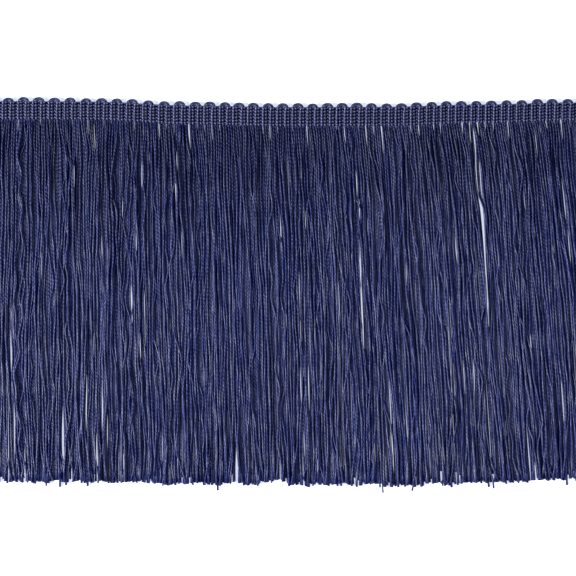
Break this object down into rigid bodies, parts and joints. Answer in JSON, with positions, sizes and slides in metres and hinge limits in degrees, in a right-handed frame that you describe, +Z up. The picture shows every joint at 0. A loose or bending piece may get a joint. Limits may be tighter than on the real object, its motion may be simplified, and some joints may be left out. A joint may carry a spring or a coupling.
{
  "type": "fringe trim",
  "caption": "Cut length of fringe trim lying flat: long loose yarn strands below a narrow stitched heading with round yarn loops along its top edge.",
  "frame": {"origin": "middle of the trim's outline, on the surface that it lies on", "axes": "+X along the heading, +Y towards the loops on the heading's edge, +Z up from the surface"},
  "size_m": [0.2502, 0.1522, 0.0031],
  "materials": {
    "yarn": "soft lustre, plied rayon yarn",
    "thread": "soft lustre, twisted thread"
  },
  "bodies": {
    "root": {"fringe": "yarn", "stitch_row_1": "thread", "stitch_row_2": "thread", "stitch_row_3": "thread", "stitch_row_4": "thread", "stitch_row_5": "thread", "stitch_row_6": "thread"}
  },
  "joints": []
}
